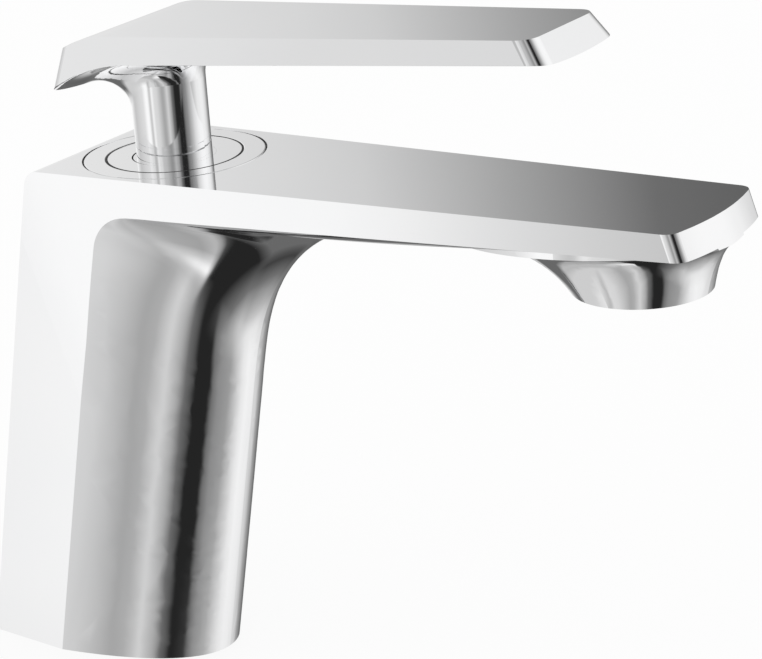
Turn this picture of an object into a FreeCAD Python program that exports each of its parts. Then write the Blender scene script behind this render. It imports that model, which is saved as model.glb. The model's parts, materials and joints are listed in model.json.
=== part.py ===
import FreeCAD, Part
import math
import os

from FreeCAD import Placement, Rotation, Vector

# Single-lever basin mixer. Millimetres and degrees.
# Origin: middle of the base on the counter, +X towards the spout, +Z up, XZ is the mirror plane.
# Depths are measured square to the spout's top face, downwards, and "along" runs up the spout
# from the rear top edge of the column.

# Column and spout casting
column_height = 113.35
column_lean = 7.0
base_depth = 49.9
body_width = 44.4
side_strip = 18.8
strip_lean = 7.2
nose_lean = 6.6
nose_shoulder = 0.50
belly_shoulder = 0.85
lever_shoulder = 0.50
nose_turn = 14.0
crown_width = 0.50
rear_edge_radius = 3.7
inner_corner_radius = 9.5
throat_radius = 35.0
spout_rise = 5.06
spout_length = 154.7
spout_tip_width = 34.5
tip_bow_radius = 66.0
tip_corner_radius = 3.0
tip_slant = 18.0
side_blend_radius = 500.0
band_root = 8.6
band_tip = 5.4
belly_depth = 3.6
tip_belly_depth = 0.4

# Outlet nozzle and aerator
nozzle_setback = 18.1
nozzle_depth = 17.3
nozzle_radius = 14.25
flare_pull = 0.35
flare_behind = 42.0
flare_before = 21.5
flare_beside = 16.9
aerator_radius = 12.0
aerator_wall = 1.4
aerator_recess = 0.4
aerator_lip = 0.9
washer_thickness = 1.2
washer_width = 2.6
shoulder_depth = 8.4
chamber_radius = 9.0
chamber_roof = 3.2
screen_thickness = 0.8
screen_hole_radius = 0.7
screen_pitch = 2.1
core_fin = 1.0
core_fin_pitch = 3.4

# Waterways
channel_radius = 2.5
channel_depth = 4.8
elbow_along = 55.4
elbow_slope = 35.0
inlet_spread = 18.0
inlet_thread_radius = 4.5
inlet_thread_depth = 14.0
inlet_bore_radius = 2.8
stud_thread_radius = 3.4
stud_thread_depth = 24.0
stud_back = 14.0
gasket_radius = 20.0
gasket_width = 3.0
gasket_thickness = 1.8
gasket_back = 2.5

# Cover ring and sliding cover disc
ring_along = 23.6
ring_radius = 20.0
ring_opening = 15.0
ring_lip = 0.8
ring_wall = 0.9
disc_gap = 0.2
disc_thickness = 0.8
disc_overlap = 0.8
slide_gap = 0.1
slide_ring_thickness = 1.3
slide_ring_opening = 11.9

# Cartridge
nut_radius = 16.95
nut_height = 7.2
nut_opening = 11.6
nut_notch = 3.0
flange_radius = 16.6
flange_thickness = 1.8
housing_radius = 13.0
housing_wall = 1.2
housing_length = 16.2
neck_wall = 1.2
neck_height = 3.4
o_ring_section = 1.5
seat_bore_gap = 1.2
guide_radius = 10.0
guide_cover = 0.85
guide_flange = 3.2
pin_depth = 8.6
pin_radius = 1.25
pin_length = 18.4
lift_angle = 20.0
shank_width = 6.0
shank_length = 5.6
post_width = 7.0
post_height = 10.0
drive_ball_radius = 2.5
drive_neck_radius = 1.5
drive_arm = 9.6
carrier_radius = 9.2
carrier_thickness = 5.2
moving_disc_thickness = 3.0
fixed_disc_thickness = 3.5
cartridge_base_height = 7.0
base_foot_height = 2.5
port_radius = 2.2
port_spread = 12.4
port_back = 3.0
seal_wall = 1.3
seal_proud = 0.2
outlet_port_ahead = 5.0
outlet_window_height = 2.8

# Lever handle
lever_rise = 7.9
lever_height = 29.8
lever_front = 98.3
lever_rear = 13.1
lever_rear_width = 35.6
lever_tip_width = 26.9
lever_flare = 17.0
lever_tip_slant = 33.0
lever_rear_slant = 12.0
lever_tip_corner = 4.0
lever_rear_corner = 1.6
lever_thickness = 5.6
lever_tip_thickness = 4.5
lever_crown = 1.0
lever_droop_start = 3.0
lever_droop_radius = 22.0
tail_start = 3.0
tail_radius = 38.0
stem_radius = 8.2
stem_fillet = 7.0
foot_radius = 8.6
foot_drop = 2.0
set_screw_radius = 2.5
set_screw_length = 3.4
set_screw_height = 6.5
plug_radius = 2.9

# Clearances
thread_clearance = 0.05
running_clearance = 0.08
loose_clearance = 0.2
film = 0.02
crease_overlap = 0.05
overrun = 10.0


# Places in the mirror plane

lean = math.radians(column_lean)
rise = math.radians(spout_rise)
base_rear = -base_depth / 2
base_front = base_depth / 2
nozzle_along = spout_length - nozzle_setback
spout_root = Vector(base_rear + column_height * math.tan(lean), 0, column_height)
spout_dir = Vector(math.cos(rise), 0, math.sin(rise))
spout_down = Vector(math.sin(rise), 0, -math.cos(rise))
strip_foot = Vector(base_rear + side_strip, 0, 0)
strip_dir = Vector(math.sin(math.radians(strip_lean)), 0, math.cos(math.radians(strip_lean)))
nose_foot = Vector(base_front, 0, 0)
nose_dir = Vector(math.sin(math.radians(nose_lean)), 0, math.cos(math.radians(nose_lean)))
side = Vector(0, 1, 0)


def spout_point(along, depth):
    return spout_root + spout_dir * along + spout_down * depth


def spout_frame(along):
    return Placement(spout_point(along, 0), Rotation(side, -spout_rise))


def band_depth(along):
    return band_root + (band_tip - band_root) * along / spout_length


def half_width(point):
    offset = point - spout_root
    along = offset.dot(spout_dir) - math.tan(math.radians(tip_slant)) * offset.dot(spout_down)
    taper = (body_width - spout_tip_width) / 2 / spout_length
    return body_width / 2 - taper * max(along, 0)


def cross_lines(point_a, dir_a, point_b, dir_b):
    gap = point_b - point_a
    turn = dir_a.x * dir_b.z - dir_a.z * dir_b.x
    return point_a + dir_a * ((gap.x * dir_b.z - gap.z * dir_b.x) / turn)


def smooth_step(share):
    share = min(max(share, 0), 1)
    return share ** 2 * (3 - 2 * share)


# Shapes used by several pieces

def rounded_outline(corners):
    """Closed wire through (point, radius) corners, each corner rounded by a tangent arc."""
    edges = []
    last = None
    first = None
    for index, (point, radius) in enumerate(corners):
        before = (corners[index - 1][0] - point).normalize()
        after = (corners[(index + 1) % len(corners)][0] - point).normalize()
        half = before.getAngle(after) / 2
        reach = radius / math.tan(half)
        start = point + before * reach
        end = point + after * reach
        if last is not None:
            edges.append(Part.makeLine(last, start))
        if radius > 0:
            middle = point + (before + after).normalize() * (radius / math.sin(half) - radius)
            edges.append(Part.Arc(start, middle, end).toShape())
        first = first or start
        last = end
    edges.append(Part.makeLine(last, first))
    return Part.Wire(edges)


def prism(wire, sweep):
    return Part.Face(wire).extrude(sweep)


def turned(points):
    """Solid of revolution about local Z from (radius, depth) points."""
    outline = [Vector(radius, 0, -depth) for radius, depth in points]
    face = Part.Face(Part.makePolygon(outline + outline[:1]))
    return face.revolve(Vector(0, 0, 0), Vector(0, 0, 1), 360)


def tube(inner, outer, top, bottom):
    return turned([(inner, top), (outer, top), (outer, bottom), (inner, bottom)])


def rod(radius, top, bottom, x=0.0, y=0.0):
    return Part.makeCylinder(radius, bottom - top, Vector(x, y, -bottom))


def block(x_low, x_high, width, top, bottom):
    return Part.makeBox(x_high - x_low, width, bottom - top, Vector(x_low, -width / 2, -bottom))


def ring_of_round(middle_radius, section_radius, depth):
    return Part.makeTorus(middle_radius, section_radius, Vector(0, 0, -depth))


def skin(sections):
    """Solid through sections given as lists of edge poles, smooth from one section to the next."""
    places = [0.0]
    for before, after in zip(sections, sections[1:]):
        steps = [(q - p).Length for old, new in zip(before, after) for p, q in zip(old, new)]
        places.append(places[-1] + sum(steps) / len(steps))
    faces = []
    for edge in range(len(sections[0])):
        rows = []
        for pole in range(len(sections[0][edge])):
            row = Part.BSplineCurve()
            row.interpolate(Points=[section[edge][pole] for section in sections], Parameters=places)
            rows.append(row)
        degree = len(rows) - 1
        surface = Part.BSplineSurface()
        surface.buildFromPolesMultsKnots(
            [row.getPoles() for row in rows], [degree + 1, degree + 1], rows[0].getMultiplicities(),
            [0, 1], rows[0].getKnots(), False, False, degree, rows[0].Degree)
        faces.append(surface.toShape())
    for section in (sections[0], sections[-1]):
        edges = []
        for poles in section:
            curve = Part.BezierCurve()
            curve.setPoles(poles)
            edges.append(curve.toShape())
        faces.append(Part.Face(Part.Wire(edges)))
    shell = Part.makeShell(faces)
    shell.sewShape()
    solid = Part.makeSolid(shell)
    if solid.Volume < 0:
        solid.reverse()
    return solid


def crowned_section(seat, apex, outward, half_at, shoulder, turn, sink):
    """Edges of a crowned form that leaves the side planes at seat, is deepest at apex and sinks outward."""
    depth = (seat - apex).dot(outward)
    slope = math.tan(math.radians(turn))
    lead = sink / 2
    knee = seat + (apex - seat) * shoulder
    edge = side * (half_at(seat) + crease_overlap)
    knee_edge = side * (half_at(knee) + crease_overlap - shoulder * depth * slope)
    crown_edge = side * ((half_at(apex) + crease_overlap) * crown_width)
    back_edge = edge + side * (lead * slope)
    lead_seat = seat + outward * lead
    back_seat = seat + outward * sink
    low = [seat - edge, knee - knee_edge, apex - crown_edge, apex]
    high = [apex, apex + crown_edge, knee + knee_edge, seat + edge]
    return [
        [back_seat - back_edge, lead_seat - back_edge], [lead_seat - back_edge, low[0]], low, high,
        [high[-1], lead_seat + back_edge], [lead_seat + back_edge, back_seat + back_edge],
        [back_seat + back_edge, back_seat - back_edge],
    ]


def oval_section(place, length, width):
    """Edges of an ellipse about a local frame, as four quarters."""
    pull = 4 / 3 * (math.sqrt(2) - 1)
    quarter = [(1, 0), (1, pull), (pull, 1), (0, 1)]
    edges = []
    for turn in range(4):
        poles = []
        for x, y in quarter:
            for _ in range(turn):
                x, y = -y, x
            poles.append(place.multVec(Vector(x * length, y * width, 0)))
        edges.append(poles)
    return edges


# Stack of the cartridge, as depths below the spout's top face

disc_top = ring_lip + disc_gap
disc_bottom = disc_top + disc_thickness
ball_depth = (disc_top + disc_bottom) / 2
slide_top = disc_bottom + slide_gap
ring_seat = slide_top + slide_ring_thickness
flange_top = ring_seat + nut_height
flange_seat = flange_top + flange_thickness
housing_end = flange_seat + housing_length
housing_bore = housing_radius - housing_wall
guide_top = pin_depth - pin_radius - guide_cover
guide_shoulder = flange_seat + running_clearance
guide_bottom = guide_shoulder + guide_flange
drive_depth = pin_depth + drive_arm
carrier_top = guide_bottom + loose_clearance
moving_top = carrier_top + carrier_thickness
fixed_top = moving_top + moving_disc_thickness + film
cartridge_base_top = fixed_top + fixed_disc_thickness
cartridge_base_bottom = cartridge_base_top + cartridge_base_height
cartridge_seat = cartridge_base_bottom + seal_proud
seat_bore = housing_radius + seat_bore_gap
lift = math.radians(lift_angle)
disc_travel = (pin_depth - disc_top) * lift
drive_travel = drive_arm * lift
disc_hole = foot_radius + 2 * loose_clearance
disc_radius = ring_opening + disc_travel / 2 + disc_overlap
cartridge_frame = spout_frame(ring_along)


# Body casting

def plan_prism():
    """Everything inside the plan outline, swept along the slant of the spout's end face."""
    slant = math.tan(math.radians(tip_slant))
    half = body_width / 2
    tip_half = spout_tip_width / 2
    bow = math.asin((tip_half - tip_corner_radius) / tip_bow_radius)
    apex = spout_length + tip_bow_radius / math.cos(bow) - tip_bow_radius
    corner = apex - tip_half * math.tan(bow)
    rear = -2 * base_depth
    outline = [
        (Vector(rear, -half, 0), 0),
        (Vector(0, -half, 0), side_blend_radius),
        (Vector(corner, -tip_half, 0), tip_corner_radius),
        (Vector(apex, 0, 0), tip_bow_radius),
        (Vector(corner, tip_half, 0), tip_corner_radius),
        (Vector(0, half, 0), side_blend_radius),
        (Vector(rear, half, 0), 0),
    ]
    wire = rounded_outline(outline)
    wire.translate(Vector(-slant * overrun, 0, overrun))
    drop = column_height + spout_length + 2 * overrun
    solid = prism(wire, Vector(slant * drop, 0, -drop))
    solid.Placement = spout_frame(0)
    return solid


def side_slab():
    """The seven-shaped plate: column strip and spout band, seen from the side."""
    setback = 1.0
    beyond = spout_length + overrun
    rear_foot = Vector(base_rear - overrun * math.tan(lean), 0, -overrun)
    strip_back = strip_foot - Vector(strip_dir.z, 0, -strip_dir.x) * setback
    band_a = spout_point(0, band_depth(0) - setback)
    band_b = spout_point(beyond, band_depth(beyond))
    inner = cross_lines(strip_back, strip_dir, band_a, band_b - band_a)
    outline = [
        (rear_foot, 0),
        (spout_root, rear_edge_radius),
        (spout_point(beyond, 0), 0),
        (band_b, 0),
        (inner, inner_corner_radius + setback),
        (strip_back - strip_dir * overrun, 0),
    ]
    wire = rounded_outline(outline)
    wire.translate(side * -body_width)
    return prism(wire, side * (2 * body_width))


def inner_form():
    """The rounded nose of the column, easing through the throat into the spout's belly."""
    band_start = spout_point(0, band_depth(0))
    band_end = spout_point(spout_length, band_depth(spout_length))
    band_dir = (band_end - band_start).normalize()
    band_out = Vector(band_dir.z, 0, -band_dir.x)
    strip_out = Vector(strip_dir.z, 0, -strip_dir.x)
    corner_centre = cross_lines(
        strip_foot + strip_out * inner_corner_radius, strip_dir,
        band_start + band_out * inner_corner_radius, band_dir)
    belly_end = spout_length + overrun
    fade_start = nozzle_along - flare_behind

    # The lowest line eases out of the nose and into the belly and is tightest in mid-throat,
    # where the smooth step is at its steepest
    steepest = 1.5
    throat_steps = 240
    first_heading = math.atan2(nose_dir.z, nose_dir.x)
    throat_turn = first_heading - math.atan2(band_dir.z, band_dir.x)
    half_throat = steepest * throat_radius * throat_turn / 2
    stride = 2 * half_throat / throat_steps
    throat = [Vector()]
    for step in range(throat_steps):
        heading = first_heading - throat_turn * smooth_step((step + 0.5) / throat_steps)
        throat.append(throat[-1] + Vector(math.cos(heading), 0, math.sin(heading)) * stride)
    throat_start = cross_lines(
        nose_foot, nose_dir, band_start + band_out * belly_depth - throat[-1], band_dir)
    nose_top = (throat_start - nose_foot).dot(nose_dir)
    belly_start = (throat_start + throat[-1] - band_start).dot(band_dir)

    def apex_at(station):
        """Place on the lowest line, counted along it from the middle of the throat."""
        if station < -half_throat:
            return throat_start + nose_dir * (station + half_throat)
        if station < half_throat:
            place = (station + half_throat) / stride
            step = int(place)
            return throat_start + throat[step] + (throat[step + 1] - throat[step]) * (place - step)
        along = belly_start + station - half_throat
        fade = smooth_step((along - fade_start) / (spout_length - fade_start))
        depth = belly_depth + (tip_belly_depth - belly_depth) * fade
        return band_start + band_dir * along + band_out * depth

    # The crease follows the strip, the corner and the band. Its corner lies beside the later part
    # of the throat, and its pace against the lowest line changes smoothly
    corner_from = -0.3
    corner_to = 0.9
    strip_run = (corner_centre - strip_foot).dot(strip_dir)
    corner_run = inner_corner_radius * strip_dir.getAngle(band_dir)
    corner_along = (corner_centre - band_start).dot(band_dir)
    first = -half_throat - nose_top - overrun
    last = half_throat + belly_end - belly_start
    marks = [first, corner_from * half_throat, corner_to * half_throat, last]
    runs = [(apex_at(first) - strip_foot).dot(strip_dir), strip_run, strip_run + corner_run]
    runs.append(runs[-1] + belly_end - corner_along)
    paces = [(runs[part + 1] - runs[part]) / (marks[part + 1] - marks[part]) for part in range(3)]
    slopes = [2 / (1 / before + 1 / after) for before, after in zip(paces, paces[1:])]
    slopes = [paces[0], *slopes, paces[-1]]

    def crease_at(station):
        """Place on the crease beside a station, and the way outward from the form there."""
        part = sum(station > mark for mark in marks[1:3])
        gap = marks[part + 1] - marks[part]
        share = (station - marks[part]) / gap
        ease_in = share * (1 - share) ** 2
        ease_out = share ** 2 * (1 - share)
        run = runs[part] + (runs[part + 1] - runs[part]) * smooth_step(share)
        run += gap * (slopes[part] * ease_in - slopes[part + 1] * ease_out)
        past = run - strip_run
        if past <= 0:
            return strip_foot + strip_dir * run, strip_out * -1
        if past >= corner_run:
            return band_start + band_dir * (corner_along + past - corner_run), band_out * -1
        angle = math.atan2(-strip_out.z, -strip_out.x) - past / inner_corner_radius
        outward = Vector(math.cos(angle), 0, math.sin(angle))
        return corner_centre + outward * inner_corner_radius, outward

    # Stations crowd together in the throat and open out evenly along the column and the spout
    station_scale = 8.0
    station_count = 26
    low = math.asinh(first / station_scale)
    high = math.asinh(last / station_scale)
    sections = []
    for step in range(station_count + 1):
        station = station_scale * math.sinh(low + (high - low) * step / station_count)
        station = min(max(station, first), last)
        seat, outward = crease_at(station)
        blend = smooth_step(station / half_throat / 2)
        shoulder = nose_shoulder + (belly_shoulder - nose_shoulder) * blend
        sections.append(crowned_section(
            seat, apex_at(station), outward, half_width, shoulder, nose_turn, band_tip))
    return skin(sections)


def nozzle_form():
    """Trumpet under the spout: round at the rim, spreading into the underside."""
    levels = 7
    top = band_depth(nozzle_along) + loose_clearance
    tilt = math.degrees(math.atan(belly_depth / (flare_before + flare_behind)))

    def ring(spread, depth):
        behind = nozzle_radius + (flare_behind - nozzle_radius) * spread
        before = nozzle_radius + (flare_before - nozzle_radius) * spread
        beside = nozzle_radius + (flare_beside - nozzle_radius) * spread
        middle = Vector((before - behind) / 2, 0, -depth - belly_depth / 2 * spread)
        place = Placement(middle, Rotation(side, -tilt * spread))
        return oval_section(place, (before + behind) / 2, beside)

    rings = []
    for level in range(levels + 1):
        share = level / levels
        spread = 2 * flare_pull * share * (1 - share) + share ** 2
        rings.append(ring(spread, top + (nozzle_depth - top) * (1 - share) ** 2))
    trumpet = skin(rings)
    cap = trumpet.Faces[-1].extrude(Vector(0, 0, band_tip / 2))
    solid = trumpet.fuse(cap)
    solid.Placement = spout_frame(nozzle_along)
    return solid


def cartridge_bore():
    thread = nut_radius + thread_clearance
    ring_bore = ring_radius + thread_clearance
    groove = housing_radius + o_ring_section
    solid = turned([
        (0, -overrun), (ring_bore, -overrun), (ring_bore, ring_seat), (thread, ring_seat),
        (thread, flange_seat), (groove, flange_seat), (groove, flange_seat + o_ring_section),
        (seat_bore, flange_seat + o_ring_section), (seat_bore, cartridge_seat), (0, cartridge_seat),
    ])
    solid.Placement = cartridge_frame
    return solid


def outlet_bore():
    """Waterway along the spout, from the cartridge bore to the chamber over the aerator."""
    slope = math.radians(elbow_slope)
    elbow = spout_point(elbow_along, channel_depth)
    down = spout_dir * -math.cos(slope) + spout_down * math.sin(slope)
    slanted_length = (elbow_along - ring_along - housing_radius) / math.cos(slope)
    slanted = Part.makeCylinder(channel_radius, slanted_length, elbow, down)
    straight = Part.makeCylinder(channel_radius, nozzle_along - elbow_along, elbow, spout_dir)
    bend = Part.makeSphere(channel_radius, elbow)
    chamber = turned([
        (0, chamber_roof), (chamber_radius, chamber_roof), (chamber_radius, shoulder_depth),
        (aerator_radius + thread_clearance, shoulder_depth),
        (aerator_radius + thread_clearance, nozzle_depth + overrun), (0, nozzle_depth + overrun),
    ])
    chamber.Placement = spout_frame(nozzle_along)
    return straight.fuse([slanted, bend, chamber])


def base_bores():
    """Threaded inlets with their risers, the stud hole and the gasket groove."""
    cuts = []
    for hand in (-1, 1):
        foot = Vector(0, hand * inlet_spread / 2, 0)
        port = cartridge_frame.multVec(Vector(-port_back, hand * port_spread / 2, -cartridge_seat))
        thread_end = foot + Vector(0, 0, inlet_thread_depth)
        rise_dir = port - thread_end
        cuts.append(Part.makeCylinder(inlet_thread_radius, inlet_thread_depth, foot))
        cuts.append(Part.makeCylinder(inlet_bore_radius, rise_dir.Length, thread_end, rise_dir))
        cuts.append(Part.makeSphere(inlet_bore_radius, thread_end))
        cuts.append(Part.makeCylinder(inlet_bore_radius, 2 * inlet_bore_radius, port, spout_down))
    cuts.append(Part.makeCylinder(stud_thread_radius, stud_thread_depth, Vector(-stud_back, 0, 0)))
    groove = tube(gasket_radius - gasket_width, gasket_radius, -gasket_thickness, overrun)
    groove.translate(Vector(-gasket_back, 0, 0))
    cuts.append(groove)
    return cuts


def make_body():
    reach = spout_length + base_depth
    above = Part.makeBox(2 * reach, 2 * reach, reach, Vector(-reach, -reach, 0))
    outside = side_slab().fuse([inner_form(), nozzle_form()])
    outside = outside.common(plan_prism()).common(above)
    body = outside.cut([cartridge_bore(), outlet_bore()] + base_bores())
    return body.removeSplitter()


# Pieces under and around the cover ring

def make_base_gasket():
    solid = tube(gasket_radius - gasket_width, gasket_radius, -gasket_thickness, 0)
    solid.translate(Vector(-gasket_back, 0, 0))
    return solid


def make_cover_ring():
    skirt = ring_radius - ring_wall
    return turned([
        (ring_opening, 0), (ring_radius, 0), (ring_radius, ring_seat), (skirt, ring_seat),
        (skirt, ring_lip), (ring_opening, ring_lip),
    ])


def make_cover_disc():
    disc = rod(disc_radius, disc_top, disc_bottom, x=disc_travel / 2)
    return disc.cut(rod(disc_hole, disc_top - overrun, disc_bottom + overrun))


def make_slide_ring():
    outer = ring_radius - ring_wall - running_clearance
    return tube(slide_ring_opening, outer, slide_top, ring_seat)


def make_retaining_nut():
    notches = 6
    nut = tube(nut_opening, nut_radius, ring_seat, flange_top)
    middle = (nut_opening + nut_radius) / 2
    notch = block(0, middle, nut_notch, ring_seat - overrun, ring_seat + nut_notch)
    cuts = []
    for index in range(notches):
        cut = notch.copy()
        cut.rotate(Vector(0, 0, 0), Vector(0, 0, 1), 360 * index / notches)
        cuts.append(cut)
    return nut.cut(cuts)


# Cartridge pieces

def make_cartridge_housing():
    neck_bore = guide_radius + running_clearance
    return turned([
        (neck_bore, flange_top - neck_height), (neck_bore + neck_wall, flange_top - neck_height),
        (neck_bore + neck_wall, flange_top), (flange_radius, flange_top), (flange_radius, flange_seat),
        (housing_radius, flange_seat), (housing_radius, housing_end), (housing_bore, housing_end),
        (housing_bore, flange_seat), (neck_bore, flange_seat),
    ])


def make_cartridge_o_ring():
    section = o_ring_section / 2 - film
    return ring_of_round(housing_radius + o_ring_section / 2, section, flange_seat + o_ring_section / 2)


def make_lever_guide():
    """Rotor that turns in the housing's neck and holds the lever's pin."""
    flange = housing_bore - loose_clearance
    rotor = turned([
        (0, guide_top), (guide_radius, guide_top), (guide_radius, guide_shoulder),
        (flange, guide_shoulder), (flange, guide_bottom), (0, guide_bottom),
    ])
    tilted_half = shank_length / 2 / math.cos(lift) + loose_clearance
    back = (pin_depth - guide_top) * math.tan(lift) + tilted_half
    ahead = (guide_bottom - pin_depth) * math.tan(lift) + tilted_half
    slot_width = shank_width + 2 * running_clearance
    slot = block(-back, ahead, slot_width, guide_top - overrun, guide_bottom + overrun)
    return rotor.cut([slot, cross_pin(pin_radius, pin_length)])


def cross_pin(radius, length):
    return Part.makeCylinder(radius, length, Vector(0, -length / 2, -pin_depth), side)


def make_lever_pin():
    return cross_pin(pin_radius, pin_length)


def make_lever_spindle():
    """Square post for the handle, flat shank through the rotor, and the ball that drives the discs."""
    shoulder = ball_depth + foot_drop
    half_shank = shank_length / 2
    room = carrier_top - loose_clearance - pin_depth
    shank_end = pin_depth + (room - half_shank * math.sin(lift)) / math.cos(lift)
    post = block(-post_width / 2, post_width / 2, post_width, -post_height, shoulder)
    shank = block(-half_shank, half_shank, shank_width, shoulder, shank_end)
    neck = rod(drive_neck_radius, shoulder, drive_depth)
    ball = Part.makeSphere(drive_ball_radius, Vector(0, 0, -drive_depth))
    pin_hole = cross_pin(pin_radius + running_clearance, 2 * pin_length)
    return post.fuse([shank, neck, ball]).cut(pin_hole).removeSplitter()


def make_disc_carrier():
    carrier = rod(carrier_radius, carrier_top, moving_top, x=-drive_travel / 2)
    socket = rod(drive_ball_radius + loose_clearance, carrier_top - overrun, moving_top + overrun)
    return carrier.cut(socket)


def make_moving_ceramic_disc():
    """Upper disc with the blind mixing pocket in its lower face."""
    bottom = moving_top + moving_disc_thickness
    roof = bottom - moving_disc_thickness / 2
    disc = rod(carrier_radius, moving_top, bottom, x=-drive_travel / 2)
    pocket = block(-drive_travel, outlet_port_ahead, port_spread / 2, roof, bottom + overrun)
    return disc.cut(pocket)


def port_places():
    return [(-port_back, -port_spread / 2), (-port_back, port_spread / 2), (outlet_port_ahead, 0)]


def make_fixed_ceramic_disc():
    disc = rod(housing_bore - running_clearance, fixed_top, cartridge_base_top)
    ports = [rod(port_radius, fixed_top, cartridge_base_top, x, y) for x, y in port_places()]
    return disc.cut(ports)


def make_cartridge_base():
    """Foot of the cartridge: two inlet seals pass through it, mixed water leaves by the front window."""
    spigot = rod(housing_bore - running_clearance, cartridge_base_top, cartridge_base_bottom)
    foot_top = cartridge_base_bottom - base_foot_height
    foot = rod(seat_bore - running_clearance, foot_top, cartridge_base_bottom)
    inlets = [
        rod(port_radius + seal_wall, cartridge_base_top, cartridge_base_bottom, x, y)
        for x, y in port_places()[:2]
    ]
    well = rod(port_radius, cartridge_base_top, foot_top, outlet_port_ahead, 0)
    window_top = foot_top - outlet_window_height
    window = block(outlet_port_ahead, seat_bore, 2 * port_radius, window_top, foot_top)
    return spigot.fuse(foot).cut(inlets + [well, window]).removeSplitter()


def make_port_seals():
    seals = []
    for x, y in port_places()[:2]:
        seal = tube(port_radius, port_radius + seal_wall, cartridge_base_top, cartridge_seat)
        seal.translate(Vector(x, y, 0))
        seals.append(seal)
    return Part.makeCompound(seals)


# Lever handle

lever_base = cartridge_frame.multVec(Vector(0, 0, lever_height))
lever_frame = Placement(lever_base, Rotation(side, -lever_rise))


def lever_outline(drop):
    """Plan outline of the lever at a level drop below its top face: the sides flare downwards."""
    spread = drop * math.tan(math.radians(lever_flare))
    front = lever_front + drop * math.tan(math.radians(lever_tip_slant))
    rear = -lever_rear - drop * math.tan(math.radians(lever_rear_slant))
    taper = (lever_rear_width - lever_tip_width) / 2 / (lever_front + lever_rear)
    rear_half = lever_rear_width / 2 + spread - taper * (rear + lever_rear)
    tip_half = lever_tip_width / 2 + spread - taper * (front - lever_front)
    return rounded_outline([
        (Vector(rear, -rear_half, -drop), lever_rear_corner),
        (Vector(front, -tip_half, -drop), lever_tip_corner),
        (Vector(front, tip_half, -drop), lever_tip_corner),
        (Vector(rear, rear_half, -drop), lever_rear_corner),
    ])


def lever_thickness_at(along):
    return lever_thickness + (lever_tip_thickness - lever_thickness) * along / lever_front


def tail_drop(along):
    """Extra depth of the lever's underside where the tail turns down behind the stem."""
    run = max(tail_start - along, 0)
    return tail_radius - math.sqrt(tail_radius ** 2 - run ** 2)


def lever_profile():
    """Side view of the lever between its drooping top and the lower edge of its side bands."""
    beyond = lever_front + overrun
    behind = -lever_rear - overrun / 2
    droop_run = -lever_droop_start - behind
    droop = lever_droop_radius - math.sqrt(lever_droop_radius ** 2 - droop_run ** 2)
    half_run = droop_run / 2
    half_droop = lever_droop_radius - math.sqrt(lever_droop_radius ** 2 - half_run ** 2)
    top_front = Vector(beyond, 0, 0)
    top_start = Vector(-lever_droop_start, 0, 0)
    top_middle = Vector(-lever_droop_start - half_run, 0, -half_droop)
    top_rear = Vector(behind, 0, -droop)

    def under(along):
        return Vector(along, 0, lever_tip_thickness / 4 - lever_thickness_at(along) - tail_drop(along))

    edges = [
        Part.makeLine(top_front, top_start),
        Part.Arc(top_start, top_middle, top_rear).toShape(),
        Part.makeLine(top_rear, under(behind)),
        Part.Arc(under(behind), under((behind + tail_start) / 2), under(tail_start)).toShape(),
        Part.makeLine(under(tail_start), under(beyond)),
        Part.makeLine(under(beyond), top_front),
    ]
    wire = Part.Wire(edges)
    wire.translate(side * -lever_rear_width)
    return prism(wire, side * (2 * lever_rear_width))


def lever_underside():
    """Crown under the lever, between the lower edges of its side bands."""
    down = Vector(0, 0, -1)
    taper = (lever_rear_width - lever_tip_width) / 2 / (lever_front + lever_rear)
    flare = math.tan(math.radians(lever_flare))

    def section(along):
        drop = lever_thickness_at(along) + tail_drop(along)
        half = lever_rear_width / 2 - taper * (along + lever_rear) + drop * flare
        crown = lever_crown * (1 + tail_drop(along) / lever_thickness)
        seat = Vector(along, 0, -drop)
        apex = seat + down * crown
        return crowned_section(
            seat, apex, down * -1, lambda place: half, lever_shoulder, 0, lever_tip_thickness / 2)

    tail_steps = 6
    behind = -lever_rear - overrun / 3
    stations = [behind + (tail_start - behind) * step / tail_steps for step in range(tail_steps + 1)]
    tail = skin([section(along) for along in stations])
    plate = skin([section(tail_start), section(lever_front + overrun)])
    return tail.fuse(plate)


def lever_sides():
    """Everything inside the lever's flared outline, down past the foot of its stem."""
    return Part.makeLoft([lever_outline(-overrun / 4), lever_outline(lever_height + overrun)], True, True)


def stem_form():
    """Round stem with a spherical foot that moves the cover disc."""
    top = lever_height - lever_thickness / 2
    foot_half = math.sqrt(foot_radius ** 2 - (ball_depth - disc_top) ** 2)
    foot_end = ball_depth + foot_drop
    neck = foot_radius - foot_drop

    def at(radius, depth):
        return Vector(radius, 0, -depth)

    waist_low = at(foot_half, disc_bottom)
    waist_high = at(foot_half, disc_top)
    edges = [
        Part.makeLine(at(0, foot_end), at(neck, foot_end)),
        Part.makeLine(at(neck, foot_end), waist_low),
        Part.Arc(waist_low, at(foot_radius, ball_depth), waist_high).toShape(),
        Part.makeLine(waist_high, at(stem_radius, disc_top)),
        Part.makeLine(at(stem_radius, disc_top), at(stem_radius, -top)),
        Part.makeLine(at(stem_radius, -top), at(0, -top)),
        Part.makeLine(at(0, -top), at(0, foot_end)),
    ]
    face = Part.Face(Part.Wire(edges))
    return face.revolve(Vector(0, 0, 0), Vector(0, 0, 1), 360)


def fillet_under_lever(handle):
    """Roll a fillet along the joint of the stem with the underside of the lever."""
    joint = []
    for face in handle.Faces:
        if isinstance(face.Surface, Part.Cylinder) and abs(face.Surface.Radius - stem_radius) < film:
            joint.extend(edge for edge in face.Edges if isinstance(edge.Curve, Part.BSplineCurve))
    return handle.makeFillet(stem_fillet, joint)


def rear_cylinder(radius, start, end):
    """Round cut or piece along the set screw's axis, from start to end behind the stem's axis."""
    return Part.makeCylinder(radius, end - start, Vector(-start, 0, set_screw_height), Vector(-1, 0, 0))


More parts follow.
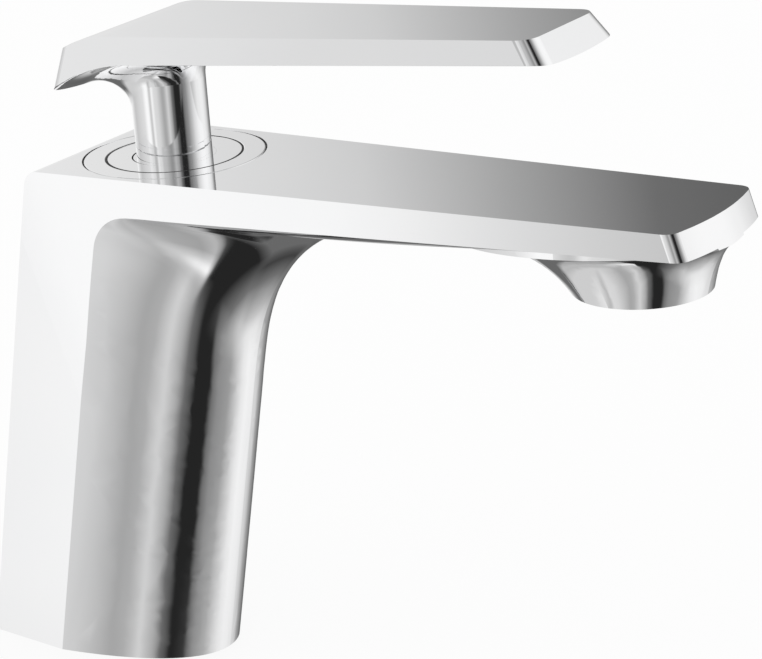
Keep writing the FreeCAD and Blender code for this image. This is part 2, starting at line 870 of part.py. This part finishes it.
screw_start = post_width / 2
screw_end = screw_start + set_screw_length


def make_handle():
    stem = stem_form()
    stem.Placement = cartridge_frame
    plate = lever_profile()
    underside = lever_underside()
    sides = lever_sides()
    for form in (plate, underside, sides):
        form.Placement = lever_frame
    socket = block(-post_width / 2, post_width / 2, post_width, -post_height - film, overrun)
    screw_hole = rear_cylinder(set_screw_radius + thread_clearance, 0, screw_end)
    plug_hole = rear_cylinder(plug_radius, screw_end, stem_radius + overrun)
    cuts = [socket, screw_hole, plug_hole]
    for cut in cuts:
        cut.Placement = cartridge_frame
    solid = plate.fuse([underside, stem]).common(sides).removeSplitter()
    return fillet_under_lever(solid).cut(cuts)


def make_set_screw():
    hex_radius = set_screw_radius / 2
    screw = rear_cylinder(set_screw_radius, screw_start, screw_end)
    corners = [
        Vector(0, hex_radius * math.cos(math.radians(60 * k)), hex_radius * math.sin(math.radians(60 * k)))
        for k in range(6)
    ]
    key = prism(Part.makePolygon(corners + corners[:1]), Vector(-set_screw_length, 0, 0))
    key.translate(Vector(-screw_start - set_screw_length / 2, 0, set_screw_height))
    return screw.cut(key)


def make_screw_plug():
    plug = rear_cylinder(plug_radius, screw_end, stem_radius + overrun)
    return plug.common(rod(stem_radius, -lever_height, 0))


# Aerator in the nozzle

aerator_top = shoulder_depth + washer_thickness
aerator_bottom = nozzle_depth - aerator_recess
aerator_bore = aerator_radius - aerator_wall


def make_aerator_washer():
    return tube(aerator_radius - washer_width, aerator_radius, shoulder_depth, aerator_top)


def make_aerator_housing():
    lip_bore = aerator_bore - aerator_lip
    lip_top = aerator_bottom - aerator_lip
    return turned([
        (aerator_bore, aerator_top), (aerator_radius, aerator_top), (aerator_radius, aerator_bottom),
        (lip_bore, aerator_bottom), (lip_bore, lip_top), (aerator_bore, lip_top),
    ])


def make_aerator_screen():
    """Perforated outlet plate with a square pattern of round jets."""
    radius = aerator_bore - running_clearance
    bottom = aerator_bottom - aerator_lip
    top = bottom - screen_thickness
    open_radius = aerator_bore - 2 * aerator_lip - screen_hole_radius
    count = int(open_radius / screen_pitch)
    holes = []
    for row in range(-count, count + 1):
        for column in range(-count, count + 1):
            x = row * screen_pitch
            y = column * screen_pitch
            if math.hypot(x, y) <= open_radius:
                holes.append(rod(screen_hole_radius, top, bottom, x, y))
    return rod(radius, top, bottom).cut(holes)


def make_aerator_core():
    """Plastic core: a ring with crossing fins that break up the flow."""
    radius = aerator_bore - running_clearance
    bottom = aerator_bottom - aerator_lip - screen_thickness
    rim = tube(radius - core_fin, radius, aerator_top, bottom)
    count = int(radius / core_fin_pitch)
    fins = []
    for index in range(-count, count + 1):
        offset = index * core_fin_pitch
        fin = block(offset - core_fin / 2, offset + core_fin / 2, 2 * radius, aerator_top, bottom)
        across = fin.copy()
        across.rotate(Vector(0, 0, 0), Vector(0, 0, 1), 90)
        fins.extend([fin, across])
    grid = fins[0].fuse(fins[1:]).common(rod(radius, aerator_top, bottom))
    return rim.fuse(grid).removeSplitter()


# Every piece, with the frame that its local sizes are measured in

own_frame = Placement()
outlet_frame = spout_frame(nozzle_along)
pieces = [
    ("body", make_body, own_frame),
    ("base_gasket", make_base_gasket, own_frame),
    ("cover_ring", make_cover_ring, cartridge_frame),
    ("cover_disc", make_cover_disc, cartridge_frame),
    ("slide_ring", make_slide_ring, cartridge_frame),
    ("retaining_nut", make_retaining_nut, cartridge_frame),
    ("cartridge_housing", make_cartridge_housing, cartridge_frame),
    ("cartridge_o_ring", make_cartridge_o_ring, cartridge_frame),
    ("lever_guide", make_lever_guide, cartridge_frame),
    ("lever_pin", make_lever_pin, cartridge_frame),
    ("lever_spindle", make_lever_spindle, cartridge_frame),
    ("disc_carrier", make_disc_carrier, cartridge_frame),
    ("moving_ceramic_disc", make_moving_ceramic_disc, cartridge_frame),
    ("fixed_ceramic_disc", make_fixed_ceramic_disc, cartridge_frame),
    ("cartridge_base", make_cartridge_base, cartridge_frame),
    ("port_seals", make_port_seals, cartridge_frame),
    ("handle", make_handle, own_frame),
    ("set_screw", make_set_screw, cartridge_frame),
    ("screw_plug", make_screw_plug, cartridge_frame),
    ("aerator_washer", make_aerator_washer, outlet_frame),
    ("aerator_housing", make_aerator_housing, outlet_frame),
    ("aerator_core", make_aerator_core, outlet_frame),
    ("aerator_screen", make_aerator_screen, outlet_frame),
]

os.makedirs("parts", exist_ok=True)
for name, make, frame in pieces:
    shape = make()
    if frame is not own_frame:
        shape.Placement = frame.multiply(shape.Placement)
    shape.exportStep("parts/" + name + ".step")
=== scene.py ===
import json
import math

import bmesh
import bpy
from mathutils import Euler, Matrix, Vector


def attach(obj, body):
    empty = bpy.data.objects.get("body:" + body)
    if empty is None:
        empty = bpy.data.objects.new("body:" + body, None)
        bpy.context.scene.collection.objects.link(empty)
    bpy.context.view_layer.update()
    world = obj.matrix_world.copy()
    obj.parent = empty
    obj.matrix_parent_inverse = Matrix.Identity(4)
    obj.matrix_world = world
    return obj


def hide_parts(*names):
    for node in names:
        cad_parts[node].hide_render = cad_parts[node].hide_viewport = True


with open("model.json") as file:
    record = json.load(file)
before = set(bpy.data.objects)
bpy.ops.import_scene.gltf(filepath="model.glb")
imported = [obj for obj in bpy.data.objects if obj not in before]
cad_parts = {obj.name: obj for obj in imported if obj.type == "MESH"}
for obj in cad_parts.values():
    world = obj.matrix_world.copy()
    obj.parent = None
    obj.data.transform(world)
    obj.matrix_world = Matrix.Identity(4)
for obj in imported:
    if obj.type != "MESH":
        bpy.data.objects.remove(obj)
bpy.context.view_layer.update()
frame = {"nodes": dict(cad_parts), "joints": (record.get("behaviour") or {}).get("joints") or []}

scene = bpy.context.scene
scene.view_settings.view_transform = "Standard"


# Body: one brass casting with the column, the spout and the outlet nozzle, ground smooth,
# buffed to a mirror and plated with nickel and chrome. It is clamped on the counter by a stud.
drift_detail = 4.0
drift_span = (0.3, 0.7)
mix_colours = slice(6, 8)
mix_result = 2


def drift_group():
    """Slow drift over a surface: one mask from soft noise, spread between a low and a high value."""
    group = bpy.data.node_groups.new("drift", "ShaderNodeTree")
    for name in ("Scale", "Low", "High"):
        group.interface.new_socket(name, in_out="INPUT", socket_type="NodeSocketFloat")
    group.interface.new_socket("Mask", in_out="OUTPUT", socket_type="NodeSocketFloat")
    entry = group.nodes.new("NodeGroupInput")
    leave = group.nodes.new("NodeGroupOutput")
    place = group.nodes.new("ShaderNodeTexCoord")
    noise = group.nodes.new("ShaderNodeTexNoise")
    spread = group.nodes.new("ShaderNodeMapRange")
    noise.inputs["Detail"].default_value = drift_detail
    spread.inputs["From Min"].default_value, spread.inputs["From Max"].default_value = drift_span
    group.links.new(place.outputs["Object"], noise.inputs["Vector"])
    group.links.new(entry.outputs["Scale"], noise.inputs["Scale"])
    group.links.new(noise.outputs["Fac"], spread.inputs["Value"])
    group.links.new(entry.outputs["Low"], spread.inputs["To Min"])
    group.links.new(entry.outputs["High"], spread.inputs["To Max"])
    group.links.new(spread.outputs["Result"], leave.inputs["Mask"])
    return group


drift = drift_group()


def add_drift(tree, scale, low=0.0, high=1.0):
    """Places the drift in a material's tree and gives back its mask."""
    node = tree.nodes.new("ShaderNodeGroup")
    node.node_tree = drift
    for name, value in (("Scale", scale), ("Low", low), ("High", high)):
        node.inputs[name].default_value = value
    return node.outputs["Mask"]


def start_finish(name, tones, tone_scale):
    """New material that drifts between two tones, with its node tree and its shader."""
    material = bpy.data.materials.new(name)
    material.use_nodes = True
    tree = material.node_tree
    shader = tree.nodes["Principled BSDF"]
    mix = tree.nodes.new("ShaderNodeMix")
    mix.data_type = "RGBA"
    for socket, tone in zip(mix.inputs[mix_colours], tones):
        socket.default_value = (*tone, 1)
    tree.links.new(add_drift(tree, tone_scale), mix.inputs["Factor"])
    tree.links.new(mix.outputs[mix_result], shader.inputs["Base Color"])
    return material, tree, shader


def make_finish(name, tones, tone_scale, roughness, rough_scale, grain=0.0, grain_scale=1.0, metallic=0.0):
    """Finish of a piece: drifting tone and roughness, and a fine raised grain where it has one."""
    material, tree, shader = start_finish(name, tones, tone_scale)
    tree.links.new(add_drift(tree, rough_scale, *roughness), shader.inputs["Roughness"])
    shader.inputs["Metallic"].default_value = metallic
    if grain:
        bump = tree.nodes.new("ShaderNodeBump")
        bump.inputs["Distance"].default_value = grain
        tree.links.new(add_drift(tree, grain_scale), bump.inputs["Height"])
        tree.links.new(bump.outputs["Normal"], shader.inputs["Normal"])
    return material


def dress(material, *nodes):
    for node in nodes:
        slots = frame["nodes"][node].data.materials
        slots.clear()
        slots.append(material)


chrome = make_finish(
    "polished_chrome", tones=((0.965, 0.968, 0.975), (0.982, 0.982, 0.985)), tone_scale=30,
    roughness=(0.040, 0.055), rough_scale=90, metallic=1.0)
dress(chrome, "body")


# Base gasket: soft black rubber ring, moulded, lying in the groove of the base so that no
# water runs under the mixer.
rubber = make_finish(
    "black_rubber", tones=((0.018, 0.018, 0.019), (0.032, 0.031, 0.030)), tone_scale=300,
    roughness=(0.55, 0.75), rough_scale=900, grain=0.00001, grain_scale=4000)
dress(rubber, "base_gasket")


# Foot of the cartridge and its two lip seals: grey moulded acetal that passes hot and cold
# water up to the discs, with black rubber sleeves pressed into it.
grey_plastic = make_finish(
    "grey_acetal", tones=((0.29, 0.30, 0.32), (0.36, 0.37, 0.39)), tone_scale=160,
    roughness=(0.35, 0.50), rough_scale=700, grain=0.000005, grain_scale=5000)
dress(grey_plastic, "cartridge_base")
dress(rubber, "port_seals")


# Ceramic discs: two plates of alumina lapped flat, the lower one fixed with three ports, the
# upper one sliding and turning over it to open and mix the water.
ceramic = make_finish(
    "lapped_alumina", tones=((0.86, 0.85, 0.82), (0.93, 0.92, 0.89)), tone_scale=500,
    roughness=(0.12, 0.22), rough_scale=1200)
dress(ceramic, "fixed_ceramic_disc", "moving_ceramic_disc")


# Moving inner pieces: the carrier that grips the upper disc and the rotor that holds the
# lever's pin, both moulded; the pin and the spindle are turned from stainless steel.
steel = make_finish(
    "turned_steel", tones=((0.60, 0.60, 0.61), (0.68, 0.68, 0.69)), tone_scale=200,
    roughness=(0.20, 0.34), rough_scale=1500, grain=0.000003, grain_scale=6000, metallic=1.0)
dress(grey_plastic, "disc_carrier", "lever_guide")
dress(steel, "lever_pin", "lever_spindle")


# Cartridge housing: white moulded acetal cup that holds the discs together, sealed in the
# body's bore by a rubber ring.
white_plastic = make_finish(
    "white_acetal", tones=((0.82, 0.82, 0.80), (0.88, 0.88, 0.86)), tone_scale=160,
    roughness=(0.32, 0.46), rough_scale=700, grain=0.000005, grain_scale=5000)
dress(white_plastic, "cartridge_housing")
dress(rubber, "cartridge_o_ring")


# Retaining nut: brass ring with notches for its key, turned and left bare, screwed down on
# the cartridge's flange.
brass = make_finish(
    "turned_brass", tones=((0.72, 0.55, 0.26), (0.80, 0.64, 0.34)), tone_scale=220,
    roughness=(0.22, 0.36), rough_scale=1500, grain=0.000003, grain_scale=6000, metallic=1.0)
dress(brass, "retaining_nut")


# Cover round the stem: a stamped chrome ring pressed flush into the body. Down in the gap round its rim
# a black ring is painted shade for the dark of the deep gap. A black ring under its thin lip is painted
# shade for the dark gap at the opening, kept out of mirror images because the plating hardly shows it.
# Under the lip a chrome disc slides with the lever, on a white plastic washer.
cover_steps = 144
crease_angle = math.radians(50)
weld_gap = 0.000001
edge_round = 0.00012
edge_support = 0.00005
ring_radius = 0.0200
ring_gap = 0.00035
bore_clearance = 0.00005
gap_depth = 0.0009
# Top of the black ring in the rim's gap, which is painted shade for the deep gap.
gap_shade_depth = 0.00030
opening_radius = 0.0150
lip_thickness = 0.00015
lip_reach = 0.0187
lip_root = 0.0008
skirt_radius = 0.0191
skirt_depth = 0.0032
# Sizes of the black ring under the lip, which is painted shade for the gap at the opening.
shade_ring_width = 0.00050
shade_ring_root = 0.00005
shade_ring_sink = 0.00002
slide_clearance = 0.00003
disc_radius = 0.01713
disc_shift = 0.00133
disc_bottom = 0.0018
disc_hole = 0.0090
hole_slack = 0.0004

swivel = next(joint for joint in frame["joints"] if joint["name"] == "temperature_swivel")
stem_axis = Vector(swivel["axis"])
side = Vector((0, 1, 0))
pivot = Vector(swivel["pos_m"])
ring_points = frame["nodes"]["cover_ring"].data.vertices
top_height = max((point.co - pivot).dot(stem_axis) for point in ring_points)
cover_place = Matrix((side.cross(stem_axis), side, stem_axis)).transposed().to_4x4()
cover_place.translation = pivot + stem_axis * top_height


def ring_piece(name, outline, finish, body, shifts=()):
    """Ring turned about the stem from an outline of (radius, depth).

    Each shift is (radius, step of that circle's front half, step of its back half).
    """
    shape = bmesh.new()
    profile = [shape.verts.new((radius, 0, -depth)) for radius, depth in outline]
    edges = [shape.edges.new(pair) for pair in zip(profile, profile[1:] + profile[:1])]
    bmesh.ops.spin(
        shape, geom=profile + edges, cent=(0, 0, 0), axis=(0, 0, 1), angle=math.tau,
        steps=cover_steps, use_merge=True)
    bmesh.ops.remove_doubles(shape, verts=shape.verts, dist=weld_gap)
    bmesh.ops.recalc_face_normals(shape, faces=shape.faces)
    for radius, front, back in shifts:
        circle = [point for point in shape.verts if abs(point.co.xy.length - radius) < edge_support]
        front_half = [point for point in circle if point.co.x >= 0]
        back_half = [point for point in circle if point.co.x < 0]
        bmesh.ops.translate(shape, verts=front_half, vec=(front, 0, 0))
        bmesh.ops.translate(shape, verts=back_half, vec=(back, 0, 0))
    bmesh.ops.transform(shape, matrix=cover_place, verts=shape.verts)
    mesh = bpy.data.meshes.new(name)
    shape.to_mesh(mesh)
    shape.free()
    mesh.shade_smooth()
    mesh.set_sharp_from_angle(angle=crease_angle)
    mesh.materials.append(finish)
    piece = bpy.data.objects.new(name, mesh)
    scene.collection.objects.link(piece)
    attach(piece, body)
    return piece


rim = ring_radius - ring_gap
ring_bore = ring_radius + bore_clearance
cover_ring = ring_piece("stamped_cover_ring", [
    (opening_radius, lip_thickness), (opening_radius, edge_round), (opening_radius + edge_round, 0),
    (opening_radius + edge_round + edge_support, 0), (rim - edge_round - edge_support, 0),
    (rim - edge_round, 0), (rim, edge_round), (rim, gap_depth), (ring_radius, gap_depth),
    (ring_radius, skirt_depth), (skirt_radius, skirt_depth), (skirt_radius, lip_root),
    (lip_reach, lip_thickness),
], chrome, "faucet_body")
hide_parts("cover_ring")
# Black ring in the gap round the rim: painted shade that keeps the deep gap dark.
ring_piece("cover_gap_shade", [
    (rim, gap_shade_depth), (ring_bore, gap_shade_depth), (ring_bore, gap_depth), (rim, gap_depth),
], rubber, "faucet_body")
# Black ring under the lip: painted shade for the dark gap at the opening, hidden from mirror images.
opening_shade_ring = ring_piece("opening_shade_ring", [
    (opening_radius - shade_ring_width, shade_ring_sink), (opening_radius, shade_ring_sink),
    (opening_radius, lip_thickness), (opening_radius - shade_ring_root, lip_thickness),
], rubber, "faucet_body")
opening_shade_ring.visible_glossy = False
disc_top = lip_thickness + slide_clearance
disc_shifts = [(disc_radius, disc_shift, disc_shift), (disc_hole, 0, -hole_slack)]
cover_disc = ring_piece("sliding_cover_disc", [
    (disc_hole, disc_top), (disc_radius, disc_top), (disc_radius, disc_bottom), (disc_hole, disc_bottom),
], chrome, "sliding_cover", disc_shifts)
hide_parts("cover_disc")
dress(white_plastic, "slide_ring")


# Handle: brass lever cast with its round stem, buffed and plated like the body. A grub screw at the
# back of the stem holds it on the spindle, behind a small grey plug. A turned collar at the stem's
# foot closes the hole of the cover's disc.
collar_clearance = 0.00002
collar_root = 0.00815
collar_depth = 0.0010
collar_radius = disc_hole - collar_clearance
dress(chrome, "handle")
ring_piece("stem_collar", [
    (collar_root, disc_top), (collar_radius, disc_top),
    (collar_radius, collar_depth), (collar_root, collar_depth),
], chrome, "lever")
dress(steel, "set_screw")
dress(grey_plastic, "screw_plug")


# Aerator: a chrome threaded sleeve in the nozzle with a rubber washer above it, a white
# plastic core that breaks up the flow, and a perforated steel plate at the mouth.
dress(rubber, "aerator_washer")
dress(chrome, "aerator_housing")
dress(white_plastic, "aerator_core")
dress(steel, "aerator_screen")


# Camera: a long lens a little above the spout and on its near side, as in the photograph. Its
# focal length is in the photograph's pixels and its angles are in degrees.
film_width = 36.0
photo_width = 762
focal_length = 2998.72
camera_place = (0.38003, -0.49575, 0.31728)
camera_fall = 21.504
camera_roll = -0.187
camera_turn = 32.482
sight_length = 20.0
camera_data = bpy.data.cameras.new("camera")
camera_data.sensor_width = film_width
camera_data.lens = film_width * focal_length / photo_width
camera_data.clip_end = sight_length
camera = bpy.data.objects.new("camera", camera_data)
scene.collection.objects.link(camera)
camera.location = camera_place
camera_angles = (90 - camera_fall, camera_roll, camera_turn)
camera.rotation_euler = Euler([math.radians(angle) for angle in camera_angles])
scene.camera = camera


# Floor: a wide pale sheet that takes the mixer's soft shadow. It looks nearly white to the
# camera, and the plating reflects the light tent in its place.
floor_size = 12.0
floor_roughness = 0.8
floor_white = 0.88
bpy.ops.mesh.primitive_plane_add(size=floor_size)
floor = bpy.context.object
floor.name = "floor"
floor.visible_glossy = False
floor_finish, tree, shader = start_finish(
    "pale_floor", tones=((0.90, 0.90, 0.90), (0.92, 0.92, 0.92)), tone_scale=3)
shader.inputs["Roughness"].default_value = floor_roughness
glow = tree.nodes.new("ShaderNodeEmission")
path = tree.nodes.new("ShaderNodeLightPath")
share = tree.nodes.new("ShaderNodeMath")
share.operation = "MULTIPLY"
share.inputs[1].default_value = floor_white
blend = tree.nodes.new("ShaderNodeMixShader")
tree.links.new(path.outputs["Is Camera Ray"], share.inputs[0])
tree.links.new(share.outputs[0], blend.inputs["Fac"])
tree.links.new(shader.outputs["BSDF"], blend.inputs[1])
tree.links.new(glow.outputs["Emission"], blend.inputs[2])
tree.links.new(blend.outputs["Shader"], tree.nodes["Material Output"].inputs["Surface"])
floor.data.materials.append(floor_finish)


# Light tent: soft white light from every side, with grey walls and a black flag that the plating mirrors
# as leaning stripes. Walls are (azimuth in degrees, brightness). Under them is a table crossed by the
# flag's dark strip, as (place across the strip, brightness), seen from one step above it.
white = (1.0, 1.0, 1.0, 1.0)
half_turn = 180.0
tent_walls = [
    (-180, 0.56), (-138, 0.74), (-126, 0.98), (-119, 0.95), (-113, 0.72), (-104, 0.67), (-88, 0.38),
    (-83, 0.42), (-75, 0.65), (-67, 0.40), (-62, 0.15), (-57, 0.08), (-54, 0.018), (-40, 0.018),
    (-35, 0.16), (-27, 0.26), (-10, 0.33), (20, 0.82), (33, 0.91), (48, 0.87), (70, 0.66), (84, 0.36),
    (100, 0.21), (117, 0.11), (119.5, 0.15), (122.5, 0.38), (125.5, 0.65), (128, 0.72), (140, 1.00),
    (180, 0.56),
]
left_heights = [(-8, 1.0), (8, 0.75)]
left_side = [(-134, 0.0), (-124, 1.0), (-72, 1.0), (-62, 0.0)]
left_fold = [(-119, 1.0), (-116, 0.88), (-113, 0.675), (-110, 0.70), (-106, 1.0)]
right_glow = [(-25, 0.0), (-5, 0.45), (15, 0.75), (30, 0.70), (42, 0.10), (60, 0.0)]
right_heights = (-8.0, 8.0)
lean_side = [(-116, 0.0), (-104, 1.0), (60, 1.0), (110, 0.0)]
lean_middle = -33.0
lean_reach = 30.0
lean_rate = 0.8
table_front = [
    (-0.60, 0.62), (-0.45, 0.48), (-0.37, 0.50), (-0.25, 0.40), (-0.11, 0.36), (-0.03, 0.48), (0.00, 0.30),
    (0.02, 0.06), (0.05, 0.018), (0.33, 0.018), (0.42, 0.06), (0.50, 0.10), (0.65, 0.17), (0.98, 0.55),
    (1.25, 0.76),
]
table_back = [
    (0.30, 0.14), (0.40, 0.08), (0.47, 0.05), (0.58, 0.11), (0.67, 0.16), (0.98, 0.45), (1.25, 0.76),
]
table_span = (-1.0, 2.0)
table_middle = (-0.1, 0.1)
table_depth = 0.1
table_edge = (-47.0, -34.0)
table_rise = 8.0
rise_side = [(-116, 1.0), (-104, 0.0), (120, 0.0), (135, 1.0)]
strip_across = (0.817, 0.465)
strip_start = 0.264
strip_bow = 0.05
lamp_spot = (0.13, -0.92)
lamp_shades = [(0.0, 0.52), (0.08, 0.46), (0.20, 0.20), (0.36, 0.0)]
lamp_side = (-0.03, 0.03)

tent = bpy.data.worlds.new("light_tent")
scene.world = tent
tent.use_nodes = True
tree = tent.node_tree


def tent_feed(socket, value):
    """Sets a socket to a number or a colour, or links it to another socket."""
    if isinstance(value, (float, tuple)):
        socket.default_value = value
    else:
        tree.links.new(value, socket)


def tent_math(operation, *values):
    node = tree.nodes.new("ShaderNodeMath")
    node.operation = operation
    for socket, value in zip(node.inputs, values):
        tent_feed(socket, value)
    return node.outputs[0]


def tent_mix(blend, share, first, second):
    node = tree.nodes.new("ShaderNodeMix")
    node.data_type = "RGBA"
    node.blend_type = blend
    sockets = (node.inputs["Factor"], *node.inputs[mix_colours])
    for socket, value in zip(sockets, (share, first, second)):
        tent_feed(socket, value)
    return node.outputs[mix_result]


def tent_range(value, start, end, low, high):
    """Runs from low to high as the value goes from start to end."""
    node = tree.nodes.new("ShaderNodeMapRange")
    names = ("Value", "From Min", "From Max", "To Min", "To Max")
    for name, number in zip(names, (value, start, end, low, high)):
        tent_feed(node.inputs[name], number)
    return node.outputs["Result"]


def tent_ramp(value, stops, start=-half_turn, end=half_turn):
    """Brightness by a value between start and end, from (value, brightness) stops."""
    node = tree.nodes.new("ShaderNodeValToRGB")
    elements = node.color_ramp.elements
    for place, level in stops[1:-1]:
        elements.new((place - start) / (end - start)).color = (level, level, level, 1)
    for element, (place, level) in ((elements[0], stops[0]), (elements[-1], stops[-1])):
        element.position = (place - start) / (end - start)
        element.color = (level, level, level, 1)
    tree.links.new(tent_range(value, start, end, 0.0, 1.0), node.inputs["Fac"])
    return node.outputs["Color"]


ray = tree.nodes.new("ShaderNodeTexCoord")
split = tree.nodes.new("ShaderNodeSeparateXYZ")
tree.links.new(ray.outputs["Generated"], split.inputs["Vector"])
azimuth = tent_math("DEGREES", tent_math("ARCTAN2", split.outputs["Y"], split.outputs["X"]))
elevation = tent_math("DEGREES", tent_math("ARCSINE", split.outputs["Z"]))

lean_most = lean_reach * lean_rate
lean = tent_range(elevation, lean_middle - lean_reach, lean_middle + lean_reach, -lean_most, lean_most)
lean = tent_math("MULTIPLY", lean, tent_ramp(azimuth, lean_side))
turn = tent_math("WRAP", tent_math("SUBTRACT", azimuth, lean), half_turn, -half_turn)
left_shade = tent_mix("MIX", tent_ramp(turn, left_side), white, tent_ramp(elevation, left_heights))
right_share = tent_range(elevation, *right_heights, 0.0, 1.0)
right_share = tent_math("MULTIPLY", right_share, tent_ramp(turn, right_glow))
walls = tent_mix("MULTIPLY", 1.0, tent_ramp(turn, tent_walls), left_shade)
walls = tent_mix("MULTIPLY", 1.0, walls, tent_ramp(azimuth, left_fold))
walls = tent_mix("MIX", right_share, walls, white)

depth = tent_math("MAXIMUM", tent_math("MULTIPLY", split.outputs["Z"], -1.0), table_depth)
right = tent_math("DIVIDE", split.outputs["X"], depth)
forward = tent_math("DIVIDE", split.outputs["Y"], depth)
across_right = tent_math("MULTIPLY", right, strip_across[0])
across_forward = tent_math("MULTIPLY", forward, strip_across[1])
across = tent_math("ADD", tent_math("ADD", across_right, across_forward), strip_start)
reach = tent_math("ADD", tent_math("POWER", right, 2.0), tent_math("POWER", forward, 2.0))
across = tent_math("SUBTRACT", across, tent_math("MULTIPLY", reach, strip_bow))
front = tent_ramp(across, table_front, *table_span)
back = tent_ramp(across, table_back, *table_span)
table = tent_mix("MIX", tent_range(forward, *table_middle, 0.0, 1.0), front, back)
lamp_right = tent_math("POWER", tent_math("SUBTRACT", right, lamp_spot[0]), 2.0)
lamp_forward = tent_math("POWER", tent_math("SUBTRACT", forward, lamp_spot[1]), 2.0)
lamp = tent_ramp(tent_math("SQRT", tent_math("ADD", lamp_right, lamp_forward)), lamp_shades, *table_span)
lamp = tent_mix("MULTIPLY", 1.0, lamp, tent_range(across, *lamp_side, 1.0, 0.0))
table = tent_mix("ADD", 1.0, table, lamp)

rise = tent_math("MULTIPLY", tent_ramp(azimuth, rise_side), table_rise)
table_share = tent_range(tent_math("SUBTRACT", elevation, rise), *table_edge, 1.0, 0.0)
mirrored = tent_mix("MIX", table_share, walls, table)
sight = tree.nodes.new("ShaderNodeLightPath")
room = tent_mix("MIX", sight.outputs["Is Glossy Ray"], white, mirrored)
tree.links.new(room, tree.nodes["Background"].inputs["Color"])
